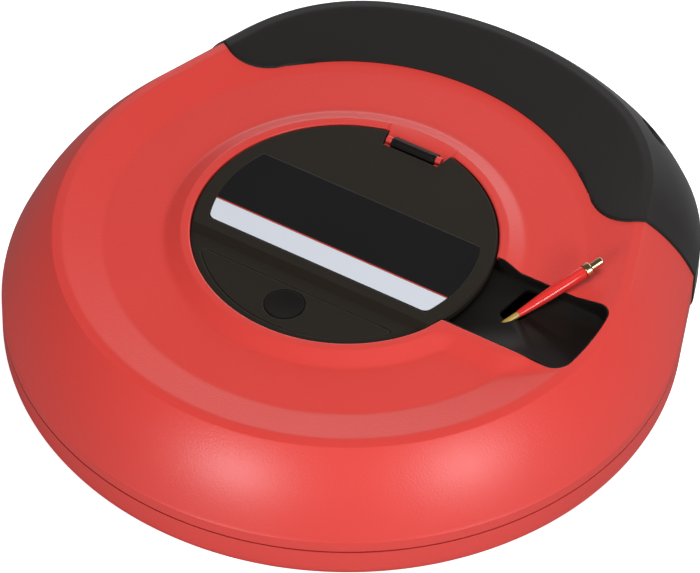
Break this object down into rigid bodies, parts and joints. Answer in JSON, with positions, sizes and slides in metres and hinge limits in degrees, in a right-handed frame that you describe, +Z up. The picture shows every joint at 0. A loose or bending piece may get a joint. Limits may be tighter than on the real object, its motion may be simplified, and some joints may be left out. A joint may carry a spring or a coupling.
{
  "type": "fish tape reel",
  "caption": "Closed round case with a soft side grip, a hinged accessory lid and a fibreglass rod coiled on a drum inside that feeds out of a pocket in the top face.",
  "frame": {"origin": "centre of the flat underside of the case, on the axis of the round lid and of the drum", "axes": "+Z up out of the lid, +Y towards the side grip, +X towards the exit pocket of the rod"},
  "size_m": [0.33, 0.3547, 0.0713],
  "materials": {
    "red_shell": "satin, fine moulded grain",
    "grip_rubber": "soft matt elastomer",
    "black_plastic": "fine matt grain",
    "label": "printed film, satin",
    "steel": "zinc plated",
    "bearing_plastic": "natural acetal",
    "drum_plastic": "moulded",
    "fibreglass": "smooth jacket over glass fibre",
    "tip_red": "glossy",
    "brass": "turned"
  },
  "bodies": {
    "case": {"upper_shell": "red_shell", "lower_shell": "red_shell", "grip_upper": "grip_rubber", "grip_lower": "grip_rubber", "tray": "black_plastic", "tray_screws": "steel", "exit_guide": "bearing_plastic", "shell_screws": "steel", "hinge_pin": "steel", "thrust_washer": "bearing_plastic", "retaining_washer": "steel", "retaining_screw": "steel"},
    "lid": {"lid": "black_plastic", "lid_label": "label", "latch_housing": "black_plastic", "latch_screws": "steel", "button_spring": "steel"},
    "button": {"lid_button": "black_plastic"},
    "bolt": {"latch_bolt": "black_plastic"},
    "drum": {"reel_drum": "drum_plastic", "drum_bush": "bearing_plastic", "rod_coil": "fibreglass", "rod_clamp": "steel", "clamp_screws": "steel"},
    "rod": {"rod_leader": "fibreglass", "tip_sleeve": "tip_red", "tip_fitting": "brass"}
  },
  "joints": [
    {"name": "lid_hinge", "type": "hinge", "parent": "case", "child": "lid", "pos_m": [0, 0.066, 0.0642], "axis": [-1, 0, 0], "range_deg": [0, 110]},
    {"name": "button_press", "type": "slide", "parent": "lid", "child": "button", "axis": [0, 0, -1], "range_m": [0, 0.0025], "deforming": ["button_spring"]},
    {"name": "bolt_slide", "type": "slide", "parent": "lid", "child": "bolt", "axis": [0, 1, 0], "range_m": [0, 0.0025]},
    {"name": "drum_spin", "type": "hinge", "parent": "case", "child": "drum", "pos_m": [0, 0, 0.005], "axis": [0, 0, 1], "range_deg": [0, 35]},
    {"name": "rod_feed", "type": "slide", "parent": "case", "child": "rod", "axis": [0.4453, 0.8591, 0.2521], "range_m": [0, 0.072]}
  ],
  "couplings": [
    {"joint": "bolt_slide", "follows": "button_press", "ratio": 1},
    {"joint": "rod_feed", "follows": "drum_spin", "m_per_rad": 0.115}
  ]
}
